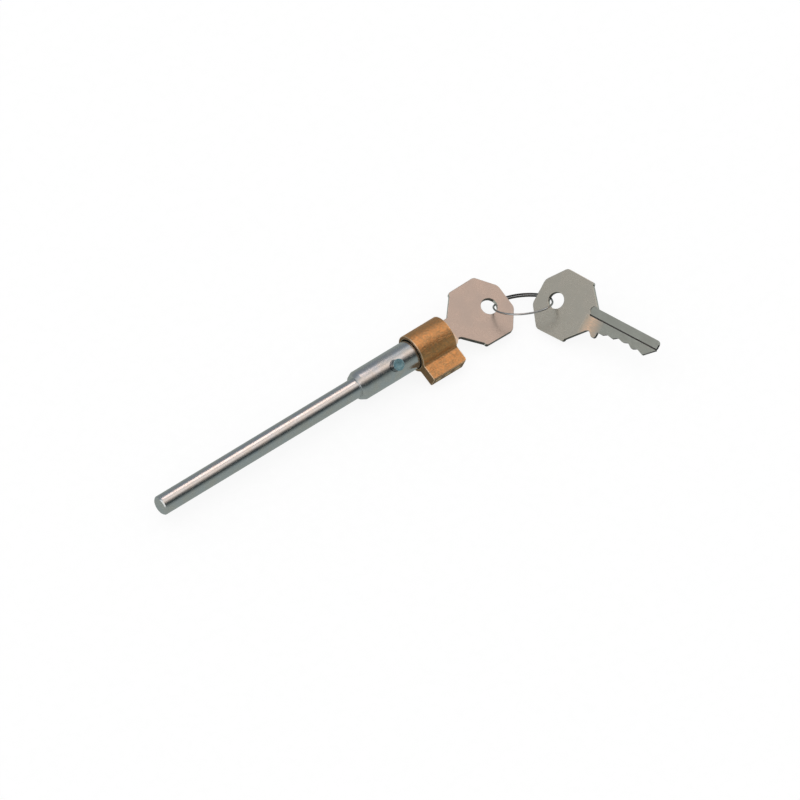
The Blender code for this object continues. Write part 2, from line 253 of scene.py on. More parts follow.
def bake(shape):
    """Make a welded mesh from a curve or a mesh with modifiers, and drop the object."""
    bpy.context.scene.collection.objects.link(shape)
    graph = bpy.context.evaluated_depsgraph_get()
    mesh = bpy.data.meshes.new_from_object(shape.evaluated_get(graph))
    bpy.data.objects.remove(shape, do_unlink=True)
    work = bmesh.new()
    work.from_mesh(mesh)
    bmesh.ops.remove_doubles(work, verts=work.verts, dist=WELD)
    bmesh.ops.recalc_face_normals(work, faces=work.faces)
    work.to_mesh(mesh)
    work.free()
    return mesh


def shade_faces(mesh, flat_above):
    """Smooth the curved faces. Those square to the piece's Z, or over flat_above mm2, are flat."""
    mesh.shade_smooth()
    mesh.set_sharp_from_angle(angle=SMOOTH_ANGLE)
    for face in mesh.polygons:
        is_end = abs(face.normal.z) > 0.9999
        face.use_smooth = not is_end and face.area < flat_above * MM * MM


def soften(profile, radius, steps=4):
    """Round the inner corners of an open profile, starting at most radius away from each."""
    points = [profile[0]]
    for before, here, after in zip(profile, profile[1:], profile[2:]):
        corner = Vector(here)
        back = Vector(before) - corner
        ahead = Vector(after) - corner
        reach = min(radius, back.length * 0.45, ahead.length * 0.45)
        for step in range(steps + 1):
            t = step / steps
            bend = back.normalized() * (1 - t) ** 2 + ahead.normalized() * t ** 2
            points.append(tuple(corner + bend * reach))
    points.append(profile[-1])
    return points


def turned(profile, steps=ROUND_STEPS):
    """Turn a profile of (radius, height) points about Z; both of its ends are on the axis."""
    work = bmesh.new()
    rings = []
    for radius, height in profile:
        if radius < WELD:
            rings.append([work.verts.new((0, 0, height * MM))])
            continue
        turns = [math.tau * i / steps for i in range(steps)]
        rings.append([
            work.verts.new((radius * MM * math.cos(a), radius * MM * math.sin(a), height * MM))
            for a in turns])
    for low, high in zip(rings, rings[1:]):
        for i in range(steps):
            j = (i + 1) % steps
            corners = [(low, i), (low, j), (high, j), (high, i)]
            verts = [ring[place % len(ring)] for ring, place in corners]
            work.faces.new(list(dict.fromkeys(verts)))
    bmesh.ops.recalc_face_normals(work, faces=work.faces)
    mesh = bpy.data.meshes.new("turned")
    work.to_mesh(mesh)
    work.free()
    return mesh


def plate(outlines, half, edge, resolution=3):
    """Extrude closed outlines by half to each side, with rounded edges; later ones are holes."""
    curve = bpy.data.curves.new("outline", "CURVE")
    curve.dimensions = "2D"
    curve.fill_mode = "BOTH"
    curve.extrude = (half - edge) * MM
    curve.bevel_depth = edge * MM
    curve.bevel_resolution = resolution
    curve.offset = -edge * MM
    for outline in outlines:
        spline = curve.splines.new("POLY")
        spline.points.add(len(outline) - 1)
        for point, (x, y) in zip(spline.points, outline):
            point.co = (x * MM, y * MM, 0.0, 1.0)
        spline.use_cyclic_u = True
    return bake(bpy.data.objects.new("outline", curve))


def wire(points, radius, resolution=5):
    """Sweep a round wire along a list of points in millimetres."""
    curve = bpy.data.curves.new("wire", "CURVE")
    curve.dimensions = "3D"
    curve.bevel_depth = radius * MM
    curve.bevel_resolution = resolution
    curve.use_fill_caps = True
    spline = curve.splines.new("POLY")
    spline.points.add(len(points) - 1)
    for point, place in zip(spline.points, points):
        point.co = (*(place * MM), 1.0)
    return bake(bpy.data.objects.new("wire", curve))


def block(low, high):
    """A cutter with square edges."""
    work = bmesh.new()
    bmesh.ops.create_cube(work, size=1.0)
    size = [(high[i] - low[i]) * MM for i in range(3)]
    centre = [(high[i] + low[i]) / 2 * MM for i in range(3)]
    bmesh.ops.scale(work, vec=size, verts=work.verts)
    bmesh.ops.translate(work, vec=centre, verts=work.verts)
    mesh = bpy.data.meshes.new("block")
    work.to_mesh(mesh)
    work.free()
    return mesh


def drill(radius, low, high, steps=SMALL_STEPS):
    """A round cutter along Z."""
    return turned(((0, low), (radius, low), (radius, high), (0, high)), steps)


def carve(mesh, cutters, operation="DIFFERENCE"):
    """Cut (cutter mesh, place) pairs out of a mesh, or add them to it."""
    shape = bpy.data.objects.new("carved", mesh)
    helpers = []
    for cutter_mesh, place in cutters:
        helper = bpy.data.objects.new("cutter", cutter_mesh)
        bpy.context.scene.collection.objects.link(helper)
        helper.matrix_world = place
        step = shape.modifiers.new("cut", "BOOLEAN")
        step.operation = operation
        step.solver = "EXACT"
        step.object = helper
        helpers.append(helper)
    bpy.context.view_layer.update()
    result = bake(shape)
    for helper in helpers:
        bpy.data.objects.remove(helper, do_unlink=True)
    return result


def arc(cx, cy, radius, start, end, count):
    """Points along an arc, from start to end degrees, both included."""
    angles = [math.radians(start + (end - start) * i / count) for i in range(count + 1)]
    return [(cx + radius * math.cos(a), cy + radius * math.sin(a)) for a in angles]


def rounded(corners, radius, count=8):
    """Round every corner of a closed outline."""
    points = []
    for i, corner in enumerate(corners):
        here = Vector(corner)
        before = (Vector(corners[i - 1]) - here).normalized() * radius
        after = (Vector(corners[(i + 1) % len(corners)]) - here).normalized() * radius
        for step in range(count + 1):
            t = step / count
            points.append(tuple(here + before * (1 - t) ** 2 + after * t ** 2))
    return points


# ---------------------------------------------------------------- places

def basis(x_axis, y_axis, z_axis, origin=Vector((0, 0, 0))):
    place = Matrix((x_axis, y_axis, z_axis)).transposed().to_4x4()
    return Matrix.Translation(origin) @ place


def along_axis(x=0.0):
    """Frame whose Z runs along the pin's axis and whose X points to the ear."""
    axis = Vector((1, 0, 0))
    return basis(EAR_DIRECTION, axis.cross(EAR_DIRECTION), axis, Vector((x * MM, 0, 0)))


def outward(x, degrees_from_ear=0.0):
    """Frame at x on the axis whose Z points outward, at an angle back from the ear."""
    axis = Vector((1, 0, 0))
    turn = Matrix.Rotation(math.radians(-degrees_from_ear), 3, axis)
    out = turn @ EAR_DIRECTION
    return basis(axis, out.cross(axis), out, Vector((x * MM, 0, 0)))


def facing(heading, pitch, roll):
    """Turn whose X has this heading and pitch, then rolled about X."""
    spin = Matrix.Rotation(math.radians(heading), 4, "Z")
    tip = Matrix.Rotation(math.radians(-pitch), 4, "Y")
    lean = Matrix.Rotation(math.radians(roll), 4, "X")
    return spin @ tip @ lean


def stack_positions():
    return [HOUSING_X1 - CUT_FIRST - CUT_PITCH * i for i in range(3)]


def key_place():
    """The key in the lock: its x runs back along the pin's axis, its cut edge faces the ear."""
    x_axis = Vector((-1, 0, 0))
    centre = Vector(((HOUSING_X1 + FIT_GAP + STOP_X) * MM, 0, 0))
    return basis(x_axis, EAR_DIRECTION, x_axis.cross(EAR_DIRECTION), centre)


def ring_place():
    return Matrix.Translation(KEY_FRONT_JOINT) @ facing(RING_HEADING, RING_PITCH, RING_ROLL)


def spare_place():
    """The spare key hangs where the ring's wire crosses the middle plane of its bow."""
    turn = facing(SPARE_HEADING, SPARE_PITCH, SPARE_ROLL)
    back = -ring_place().to_3x3().col[0]
    normal = turn.to_3x3().col[2]
    crossing = (back - back.dot(normal) * normal).normalized() * HOLE_OFFSET * MM
    return Matrix.Translation(SPARE_JOINT - crossing) @ turn


# ---------------------------------------------------------------- materials

def feed(tree, socket, value):
    """Give a socket its value: another socket to link, or a plain one."""
    if isinstance(value, bpy.types.NodeSocket):
        tree.links.new(value, socket)
    else:
        socket.default_value = value


def add(tree, kind, inputs=None, **settings):
    """Add a shader node, with values for its inputs by name or number."""
    node = tree.nodes.new("ShaderNode" + kind)
    for key, value in settings.items():
        setattr(node, key, value)
    for name, value in (inputs or {}).items():
        feed(tree, node.inputs[name], value)
    return node


def own_place(tree):
    """Coordinates in the piece's own directions, kept on its mesh. CAD nodes keep none, so they
    fall back on their world ones."""
    own = add(tree, "Attribute", attribute_name="own").outputs["Vector"]
    world = add(tree, "TexCoord").outputs["Object"]
    is_shown = add(tree, "Attribute", attribute_name="is_shown").outputs["Fac"]
    blend = add(tree, "Mix", {0: is_shown, 4: world, 5: own}, data_type="VECTOR")
    return blend.outputs[1]


def millimetres(tree, stretch=(1, 1, 1)):
    """The piece's own coordinates in millimetres, divided by stretch along each axis."""
    place = own_place(tree)
    scale = [1 / MM / s for s in stretch]
    return add(tree, "Mapping", {"Vector": place, "Scale": scale}).outputs["Vector"]


def noise(tree, size, stretch=(1, 1, 1), detail=3.0, low=0.3, high=0.7):
    """Noise of this grain size in millimetres, spread to 0..1 between low and high."""
    place = millimetres(tree, stretch)
    grain = add(tree, "TexNoise", {"Vector": place, "Scale": 1 / size, "Detail": detail})
    spread = add(tree, "MapRange", {
        "Value": grain.outputs["Fac"], "From Min": low, "From Max": high})
    return spread.outputs["Result"]


def mix(tree, factor, first, second):
    """Blend two colours."""
    return add(tree, "Mix", {0: factor, 6: first, 7: second}, data_type="RGBA").outputs[2]


def maths(tree, operation, first, second, **settings):
    return add(tree, "Math", {0: first, 1: second}, operation=operation, **settings).outputs[0]


def along_x(tree, start, end):
    """0 at start and 1 at end, in millimetres along the piece's own X, and level beyond them."""
    along = add(tree, "SeparateXYZ", {"Vector": own_place(tree)}).outputs["X"]
    spread = add(tree, "MapRange", {
        "Value": along, "From Min": start * MM, "From Max": end * MM})
    return spread.outputs["Result"]


# Mask for the lightened edges of the metals: partly wear, partly painted highlight.
def edge_wear_and_highlight(tree, width, contrast):
    """1 on edges and 0 on flats: how far the normal turns when it is averaged over width (mm)."""
    soft = add(tree, "Bevel", {"Radius": width * MM}, samples=6).outputs["Normal"]
    plain = add(tree, "NewGeometry").outputs["Normal"]
    agree = add(tree, "VectorMath", {0: soft, 1: plain}, operation="DOT_PRODUCT")
    turned_away = maths(tree, "SUBTRACT", 1.0, agree.outputs["Value"])
    return maths(tree, "MULTIPLY", turned_away, contrast, use_clamp=True)


def metal(name, base, patch, rough, patch_size=6.0, grain=0.25, stretch=(1, 1, 1), bump=0.02,
          edge=None, edge_width=0.18, edge_contrast=12.0, pits=0.0, scratch_stretch=(18, 1, 1),
          reflection_tint=None):
    """A worn metal: patches of a second tone, a directional grain, fine scratches, bright edges
    (partly wear, partly painted highlight).

    Sizes are in millimetres. rough is its least and most roughness, and reflection_tint a painted
    reflection: a colour that grows and fades along the piece's X, with the places where it starts,
    peaks and ends.
    """
    material = bpy.data.materials.new(name)
    material.use_nodes = True
    tree = material.node_tree
    shader = tree.nodes["Principled BSDF"]
    shader.inputs["Metallic"].default_value = 1.0
    patches = noise(tree, patch_size, detail=4.0, low=0.35, high=0.65)
    fine = noise(tree, grain, stretch=stretch, detail=4.0)
    scratches = noise(tree, grain * SCRATCH_SIZE, stretch=scratch_stretch, detail=2.0,
                      low=0.58, high=0.72)
    patched = mix(tree, patches, (*base, 1), (*patch, 1))
    dark = tuple(part * GRAIN_DARKNESS for part in base)
    colour = mix(tree, maths(tree, "MULTIPLY", fine, GRAIN_TONE), patched, (*dark, 1))
    uneven = maths(tree, "ADD", maths(tree, "MULTIPLY", fine, GRAIN_GLOSS),
                   maths(tree, "MULTIPLY", patches, PATCH_GLOSS))
    roughness = add(tree, "MapRange", {
        "Value": uneven, "To Min": rough[0], "To Max": rough[1]}).outputs["Result"]
    # Painted reflection: reflection_tint lays its colour, streaked by the grain, along part of X.
    if reflection_tint:
        tone, start, peak, end = reflection_tint
        window = maths(tree, "MINIMUM", along_x(tree, start, peak), along_x(tree, end, peak))
        streaks = maths(tree, "ADD", maths(tree, "MULTIPLY", fine, TINT_GRAIN), TINT_LEVEL)
        colour = mix(tree, maths(tree, "MULTIPLY", window, streaks), colour, (*tone, 1))
    # Edges are lightened and smoothed: partly wear, partly painted highlight.
    if edge:
        edges = edge_wear_and_highlight(tree, edge_width, edge_contrast)
        colour = mix(tree, edges, colour, (*edge, 1))
        roughness = maths(tree, "SUBTRACT", roughness, maths(tree, "MULTIPLY", edges, EDGE_POLISH))
    height = maths(tree, "ADD", fine, maths(tree, "MULTIPLY", scratches, SCRATCH_RELIEF))
    if pits:
        pitting = noise(tree, grain * PIT_SIZE, detail=2.0, low=0.52, high=0.68)
        height = maths(tree, "SUBTRACT", height, maths(tree, "MULTIPLY", pitting, pits))
    relief = add(tree, "Bump", {"Height": height, "Strength": 1.0, "Distance": bump * MM})
    tree.links.new(colour, shader.inputs["Base Color"])
    tree.links.new(roughness, shader.inputs["Roughness"])
    tree.links.new(relief.outputs["Normal"], shader.inputs["Normal"])
    return material


ZINC = metal("zinc_plate", (0.70, 0.73, 0.75), (0.74, 0.72, 0.68), (0.16, 0.30), patch_size=4.0,
             grain=0.45, stretch=(2.0, 1, 1), bump=0.007, edge=(0.88, 0.90, 0.92),
             scratch_stretch=(0.3, 9, 9))
# Painted shade: the stud's side is darker than the zinc, with a painted white highlight on its
# edge.
STUD_SIDE_SHADED = metal("stud_side_painted_shade", (0.31, 0.34, 0.36), (0.25, 0.28, 0.30), (0.16, 0.26), patch_size=1.6,
                  grain=0.3, bump=0.004, edge=(0.95, 0.97, 1.0), edge_width=0.2)
STUD_ZINC = metal("stud_zinc", (0.28, 0.56, 0.66), (0.40, 0.62, 0.68), (0.42, 0.56), patch_size=1.6,
                  grain=0.3, bump=0.006, edge=(0.85, 0.92, 0.94))
# The brass's pale edges are partly wear, partly painted highlight.
BRASS = metal("cast_brass", (0.86, 0.42, 0.16), (0.62, 0.37, 0.17), (0.32, 0.52), patch_size=1.0,
              grain=0.5, stretch=(1, 1, 1.6), bump=0.05, edge=(1.0, 0.90, 0.70), edge_width=0.4,
              edge_contrast=45.0, pits=0.9, scratch_stretch=(1, 1, 14))
PLUG_BRASS = metal("turned_brass", (0.83, 0.58, 0.27), (0.72, 0.48, 0.22), (0.22, 0.36),
                   patch_size=4.0, grain=0.18, bump=0.005, edge=(0.95, 0.78, 0.48))
# Painted shade: darker brass for the housing's two end faces and the ear's end, with edges
# lightened partly as wear, partly as painted highlight.
SHADED_BRASS = metal("brass_painted_shade", (0.37, 0.20, 0.09), (0.28, 0.18, 0.09), (0.42, 0.58), patch_size=1.4,
                  grain=0.35, bump=0.02, edge=(1.0, 0.86, 0.62), edge_width=0.22,
                  edge_contrast=30.0)
# Painted shade: near-black brass for the faces inside the housing's bores.
BORE_SHADE_BRASS = metal("bore_painted_shade", (0.10, 0.065, 0.035), (0.07, 0.05, 0.03), (0.45, 0.6),
                   patch_size=1.2, grain=0.3, bump=0.01)
NICKEL_WARM = metal("nickel_plate_warm", (0.56, 0.47, 0.41), (0.53, 0.46, 0.41), (0.24, 0.34),
                    patch_size=7.0, grain=0.3, stretch=(1.2, 1, 1), bump=0.004,
                    edge=(0.80, 0.76, 0.70), scratch_stretch=(16, 1, 1))
NICKEL_GREY = metal("nickel_plate_grey", (0.60, 0.56, 0.47), (0.57, 0.55, 0.47), (0.24, 0.34),
                    patch_size=7.0, grain=0.3, stretch=(1.2, 1, 1), bump=0.004,
                    edge=(0.80, 0.78, 0.72), scratch_stretch=(16, 1, 1))
# Painted shade: the keys' outline edges that face -Y in the world.
EDGE_PAINTED_SHADE = metal("edge_painted_shade", (0.16, 0.145, 0.125), (0.12, 0.11, 0.10), (0.4, 0.55),
                     patch_size=1.5, grain=0.2, stretch=(1, 1, 3), bump=0.01,
                     edge=(0.75, 0.70, 0.64), edge_width=0.08)
# Painted highlight: the keys' other outline edges, as bright as the flats.
EDGE_PAINTED_HIGHLIGHT = metal("edge_painted_highlight", (0.90, 0.86, 0.78), (0.82, 0.78, 0.71), (0.24, 0.36),
                    patch_size=2.0, grain=0.2, stretch=(1, 1, 3), bump=0.004)
MILLED_NICKEL = metal("milled_nickel", (0.47, 0.49, 0.43), (0.42, 0.44, 0.39), (0.26, 0.38),
                      patch_size=4.0, grain=0.3, stretch=(6, 1, 1), bump=0.006,
                      edge=(0.82, 0.82, 0.78), edge_width=0.12, scratch_stretch=(20, 1, 1))
# The warm copper tone near the key's neck is a painted reflection of the brass.
RAMP_NICKEL = metal("ramp_nickel", (0.47, 0.49, 0.43), (0.42, 0.44, 0.39), (0.26, 0.38),
                    patch_size=2.0, grain=0.3, stretch=(6, 1, 1), bump=0.012,
                    edge=(0.82, 0.82, 0.78), edge_width=0.12, scratch_stretch=(20, 1, 1),
                    reflection_tint=((0.98, 0.70, 0.49), 14.2, 17.6, 23.0))
# Painted shade: near-black colour for the faces of the keys' narrow groove.
GROOVE_SHADE = metal("groove_painted_shade", (0.10, 0.10, 0.09), (0.08, 0.08, 0.075), (0.5, 0.6),
                     patch_size=1.5, grain=0.2, bump=0.004)
RING_STEEL = metal("ring_steel", (0.62, 0.62, 0.62), (0.52, 0.52, 0.52), (0.14, 0.26),
                   patch_size=2.5, grain=0.15, bump=0.003)
# The wire along the ring's overlap is darker than the single turn.
RING_DARK = metal("ring_dark_overlap", (0.095, 0.095, 0.09), (0.07, 0.07, 0.07), (0.22, 0.36),
                  patch_size=1.5, grain=0.15, bump=0.004)
PIN_STEEL = metal("pin_steel", (0.56, 0.57, 0.58), (0.50, 0.50, 0.50), (0.2, 0.34), patch_size=2.0,
                  grain=0.15, bump=0.004, edge=(0.8, 0.8, 0.8), edge_width=0.1)
SPRING_STEEL = metal("spring_steel", (0.45, 0.46, 0.48), (0.38, 0.38, 0.40), (0.2, 0.34),
                     patch_size=1.5, grain=0.1, bump=0.002)


# ---------------------------------------------------------------- pieces

def coat(mesh, materials, choose):
    """Give faces other materials: choose says which, from a face's centre (mm) and its normal."""
    for material in materials:
        mesh.materials.append(material)
    for face in mesh.polygons:
        face.material_index = choose(face.center / MM, face.normal)


def keep_own_place(mesh):
    """Store the piece's own coordinates for its materials, before it is moved to its place."""
    places = [part for vertex in mesh.vertices for part in vertex.co]
    mesh.attributes.new("own", "FLOAT_VECTOR", "POINT")
    mesh.attributes["own"].data.foreach_set("vector", places)
    mesh.attributes.new("is_shown", "FLOAT", "POINT")
    mesh.attributes["is_shown"].data.foreach_set("value", [1.0] * len(mesh.vertices))


def show(name, mesh, material, slot, body, place, node, flat_above=math.inf, coats=(), choose=None):
    """Add one visible piece that stands for its CAD node and rides on that node's body."""
    shade_faces(mesh, flat_above)
    mesh.materials.clear()
    mesh.materials.append(material)
    if choose:
        coat(mesh, coats, choose)
    keep_own_place(mesh)
    mesh.transform(place)
    piece = bpy.data.objects.new(name, mesh)
    bpy.context.scene.collection.objects.link(piece)
    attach(piece, body)
    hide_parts(node)
    return piece


def show_pin():
    profile = soften((
        (0, BARREL_BORE_X), (BARREL_BORE_R, BARREL_BORE_X), (BARREL_BORE_R, BARREL_END_X),
        (BARREL_R, BARREL_END_X), (BARREL_R, SHOULDER_X + SHOULDER_CHAMFER),
        (SHOULDER_R, SHOULDER_X), (ROD_R, SHOULDER_X), (ROD_R, TIP_CHAMFER),
        (ROD_R - TIP_CHAMFER, 0), (0, 0)), PIN_SOFTNESS)
    hole = drill(STUD_R + FIT_GAP, STUD_INNER, STUD_OUTER + CUT_PAST)
    to_pin = along_axis().inverted()
    mesh = carve(turned(profile), [(hole, to_pin @ outward(STUD_X, STUD_FROM_EAR))])
    show("pin_metal", mesh, ZINC, "zinc_steel", "pin_shaft", along_axis(), "steel_pin")


def show_stud():
    """The stud's flat end is dished in two steps."""
    rim, ring = (STUD_R * share for share in STUD_DISH_SHARES)
    ring_depth, centre_depth = STUD_DISH_DEPTHS
    profile = soften((
        (0, STUD_INNER), (STUD_R, STUD_INNER), (STUD_R, STUD_OUTER), (rim, STUD_OUTER),
        (ring, STUD_OUTER - ring_depth), (0, STUD_OUTER - centre_depth)), STUD_SOFTNESS)
    # The stud's side gets painted shade and a painted highlight on its edge; its end face keeps the
    # blue-green zinc.
    show("stud_metal", turned(profile, SMALL_STEPS), STUD_ZINC, "stud_steel", "pin_shaft",
         outward(STUD_X, STUD_FROM_EAR), "locking_stud", coats=[STUD_SIDE_SHADED],
         choose=lambda centre, normal: 0 if normal.z > 0.5 else 1)


def housing_outline():
    """Round body and ear in one outline, ear towards +X, with fillets where they meet."""
    fillet_y = EAR_HALF + EAR_FILLET_R
    fillet_x = math.sqrt((HOUSING_R + EAR_FILLET_R) ** 2 - fillet_y ** 2)
    meet = math.degrees(math.atan2(fillet_y, fillet_x))
    fillet = arc(fillet_x, fillet_y, EAR_FILLET_R, 180 + meet, 270, 14)
    corner_x = EAR_REACH - EAR_CORNER_R
    corner = arc(corner_x, EAR_HALF - EAR_CORNER_R, EAR_CORNER_R, 90, 0, 8)
    one_side = fillet + corner
    other_side = [(x, -y) for x, y in reversed(one_side)]
    body = arc(0, 0, HOUSING_R, -meet, meet - 360, 120)
    return one_side + other_side + body[1:-1]


def housing_side(half):
    """The housing seen square to the ear, with the ear's two far corners rounded."""
    low = -HOUSING_R - CUT_PAST
    front = arc(half - EAR_FRONT_R, EAR_REACH - EAR_FRONT_R, EAR_FRONT_R, 0, 90, 10)
    rear = arc(EAR_REAR_R - half, EAR_REACH - EAR_REAR_R, EAR_REAR_R, 90, 180, 6)
    return [(-half, low), (half, low)] + front + rear


def housing_coat(centre, normal):
    """The bores are painted near-black, as shade; the two end faces and the ear's end get a darker
    brass, painted shade.
    """
    # Painted shade: faces inside the bores get the near-black brass.
    if math.hypot(centre.x, centre.y) < FRONT_BORE_R + BORE_SLACK:
        return 2
    # Painted shade: the end faces and the ear's end get the darker brass.
    is_ear_end = centre.x > EAR_REACH - BORE_SLACK and normal.x > 0.9
    return 1 if abs(normal.z) > 0.9 or is_ear_end else 0


def show_housing():
    half = (HOUSING_X1 - HOUSING_X0) / 2
    middle = (HOUSING_X1 + HOUSING_X0) / 2
    front = half - FRONT_BORE_DEPTH
    rear = REAR_BORE_DEPTH - half
    past = 2 * CUT_PAST
    bore = (
        (0, -half - past), (REAR_BORE_R, -half - past), (REAR_BORE_R, rear), (PLUG_BORE_R, rear),
        (PLUG_BORE_R, front), (FRONT_BORE_R, front), (FRONT_BORE_R, half - FRONT_LIP),
        (FRONT_BORE_R + FRONT_LIP + past, half + past), (0, half + past))
    to_housing = along_axis(middle).inverted()
    side = plate([housing_side(half)], HOUSING_R + CUT_PAST, 0.0, 0)
    side_place = basis(Vector((0, 0, 1)), Vector((1, 0, 0)), Vector((0, 1, 0)))
    blank = plate([housing_outline()], half, HOUSING_EDGE, 4)
    body = carve(blank, [(side, side_place)], "INTERSECT")
    cutters = [(turned(bore), Matrix.Identity(4))]
    for x in stack_positions():
        chamber = drill(STACK_BORE_R, PLUG_BORE_R - CUT_PAST, EAR_REACH + past)
        cutters.append((chamber, to_housing @ outward(x)))
    show("housing_metal", carve(body, cutters), BRASS, "brass", "housing", along_axis(middle),
         "lock_housing", flat_above=HOUSING_FLAT, coats=[SHADED_BRASS, BORE_SHADE_BRASS],
         choose=housing_coat)


def show_plug():
    """The front face is dished; the keyway, the pin holes and the stud's hole are cut through."""
    rim, dish = (FLANGE_R * share for share in PLUG_DISH_SHARES)
    face = HOUSING_X1 - PLUG_DISH_DEPTH
    profile = soften((
        (0, SHANK_X0), (SHANK_R, SHANK_X0), (SHANK_R, SHANK_X1), (PLUG_R, SHANK_X1),
        (PLUG_R, FLANGE_X), (FLANGE_R, FLANGE_X), (FLANGE_R, HOUSING_X1), (rim, HOUSING_X1),
        (dish, face), (0, face)), PLUG_SOFTNESS)
    keyway = block((-KEYWAY_SPINE, -KEYWAY_HALF, KEYWAY_X0),
                   (KEYWAY_BIT, KEYWAY_HALF, HOUSING_X1 + CUT_PAST))
    to_plug = along_axis().inverted()
    cutters = [(keyway, Matrix.Identity(4))]
    for x in stack_positions():
        hole = drill(STACK_BORE_R, KEYWAY_BIT - CUT_PAST / 2, PLUG_R + CUT_PAST)
        cutters.append((hole, to_plug @ outward(x)))
    stud_hole = drill(STUD_R + FIT_GAP, STUD_INNER - FIT_GAP * 3, STUD_OUTER)
    cutters.append((stud_hole, to_plug @ outward(STUD_X, STUD_FROM_EAR)))
    show("plug_metal", carve(turned(profile), cutters), PLUG_BRASS, "brass", "pin_shaft",
         along_axis(), "lock_plug", flat_above=PLUG_FLAT)


def show_springs():
    low, high = SPRING_SPAN
    count = int(SPRING_TURNS * STEPS_PER_TURN)
    rise = high - low - 2 * SPRING_WIRE_R
    points = []
    for i in range(count + 1):
        angle = math.tau * SPRING_TURNS * i / count
        height = low + SPRING_WIRE_R + rise * i / count
        points.append(Vector((SPRING_R * math.cos(angle), SPRING_R * math.sin(angle), height)))
    for number, x in enumerate(stack_positions(), 1):
        place = outward(x)
        piece = show(f"spring_wire_{number}", wire(points, SPRING_WIRE_R, 3), SPRING_STEEL,
                     "spring_steel", "housing", place, f"driver_spring_{number}")
        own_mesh(piece)


def cut_edge():
    """The bitted edge of the blade, from the stop to the foot of the tip's ramp."""
    points = []
    for i, depth in enumerate(CUT_DEPTHS):
        middle = STOP_X + CUT_FIRST + CUT_PITCH * i
        floor = CREST_Y - depth
        points.append((middle - CUT_PITCH / 2 + CREST_OFFSET, CREST_Y - CREST_DROPS[i]))
        points.append((middle - CUT_FLAT / 2, floor))
        points.append((middle + CUT_FLAT / 2, floor))
    points.append((TIP_RAMP_X, CREST_Y - CREST_DROPS[-1]))
    return points


def key_outline():
    bow_low = [(x, -y) for x, y in BOW_CORNERS]
    bow_high = list(reversed(BOW_CORNERS))
    bow = rounded(bow_low[1:] + bow_high[:-1], BOW_ROUND)
    nub_centre = STOP_X - STOP_R
    nub = arc(nub_centre, STOP_REACH - STOP_R, STOP_R, 150, 0, 14)
    nose = arc(TIP_X - TIP_ROUND, SPINE_Y + TIP_ROUND, TIP_ROUND, 0, -90, 12)
    after_stop = [STOP_FOOT] + nub + [(STOP_X, CREST_Y)]
    blade = soften(cut_edge(), CUT_SOFTNESS, 3) + [(TIP_X, TIP_NOSE_Y)] + nose
    return bow + [bow_high[-1]] + after_stop + blade + [(bow_low[0][0], SPINE_Y)]


def milled_strip(start, end_radius, low, high):
    """Outline of a strip milled along the blade, with a round end where the cutter stopped."""
    half = (high - low) / 2
    reach = math.degrees(math.asin(half / end_radius))
    round_end = arc(start, (low + high) / 2, end_radius, 180 + reach, 180 - reach, 16)
    return round_end + [(TIP_X + CUT_PAST, high), (TIP_X + CUT_PAST, low)]


def ramp_outline(start, side):
    """Lengthwise section of the cut that thins the blade: it runs in on the disc cutter's arc."""
    surface = side * KEY_HALF
    points = []
    for i in range(RAMP_STEPS + 1):
        t = i / RAMP_STEPS
        points.append((start + RAMP_LENGTH * t, surface - side * RAMP_DEPTH * (1 - (1 - t) ** 2)))
    past_tip = TIP_X + CUT_PAST
    above = surface + side * CUT_PAST
    return points + [(past_tip, points[-1][1]), (past_tip, above), (start, above)]


def key_cutters(side, set_back):
    """The recess, the groove in it and the thinned blade, on the key's +Z or -Z side."""
    recess = milled_strip(RECESS_X + set_back, RECESS_END_R, SPINE_Y - 0.3, RECESS_Y)
    groove = milled_strip(
        GROOVE_X + set_back, GROOVE_END_R, GROOVE_Y - GROOVE_HALF, GROOVE_Y + GROOVE_HALF)
    cutters = []
    for outline, depth in ((recess, RECESS_DEPTH), (groove, GROOVE_DEPTH)):
        height = side * (KEY_HALF - depth + CUT_PAST) * MM
        cutters.append((plate([outline], CUT_PAST, 0.0, 0), Matrix.Translation((0, 0, height))))
    top = STOP_REACH + CUT_PAST
    middle = Vector((0, (top + GROOVE_Y) / 2 * MM, 0))
    upright = basis(Vector((1, 0, 0)), Vector((0, 0, 1)), Vector((0, -1, 0)), middle)
    ramp = ramp_outline(GROOVE_X + set_back - RAMP_BEFORE_GROOVE, side)
    cutters.append((plate([ramp], (top - GROOVE_Y) / 2, 0.0, 0), upright))
    return cutters


def key_mesh():
    """The milled strips start in the bow on the back, and at the stop on the front."""
    blank = plate([key_outline(), arc(0, 0, HOLE_R, 0, 355, 71)], KEY_HALF, KEY_EDGE)
    return carve(blank, key_cutters(1, PLAIN_SIDE_X - RECESS_X) + key_cutters(-1, 0))


def key_coat(place):
    """The strips are milled, and the narrow groove is painted dark, as shade. Of the outline's
    edges, those that face -Y in the world, and not +X, get painted shade, and the others a painted
    highlight as bright as the flats."""
    turn = place.to_3x3()

    def choose(centre, normal):
        depth = KEY_HALF - abs(centre.z)
        is_in_groove = (abs(centre.y - GROOVE_Y) < GROOVE_HALF + KEY_SLACK
                        and depth > RECESS_DEPTH + KEY_SLACK)
        # The groove's faces get painted shade.
        if is_in_groove and centre.x > GROOVE_X - GROOVE_END_R:
            return 3
        # Outline edges facing -Y in the world, and not +X, get painted shade; the others get a
        # painted highlight.
        if abs(normal.z) < 0.3:
            out = turn @ normal
            return 1 if out.y < -0.3 and out.x < 0.35 else 5
        if depth < KEY_SLACK / 2 or abs(normal.z) < 0.95:
            return 0
        return 4 if centre.y > GROOVE_Y else 2
    return choose


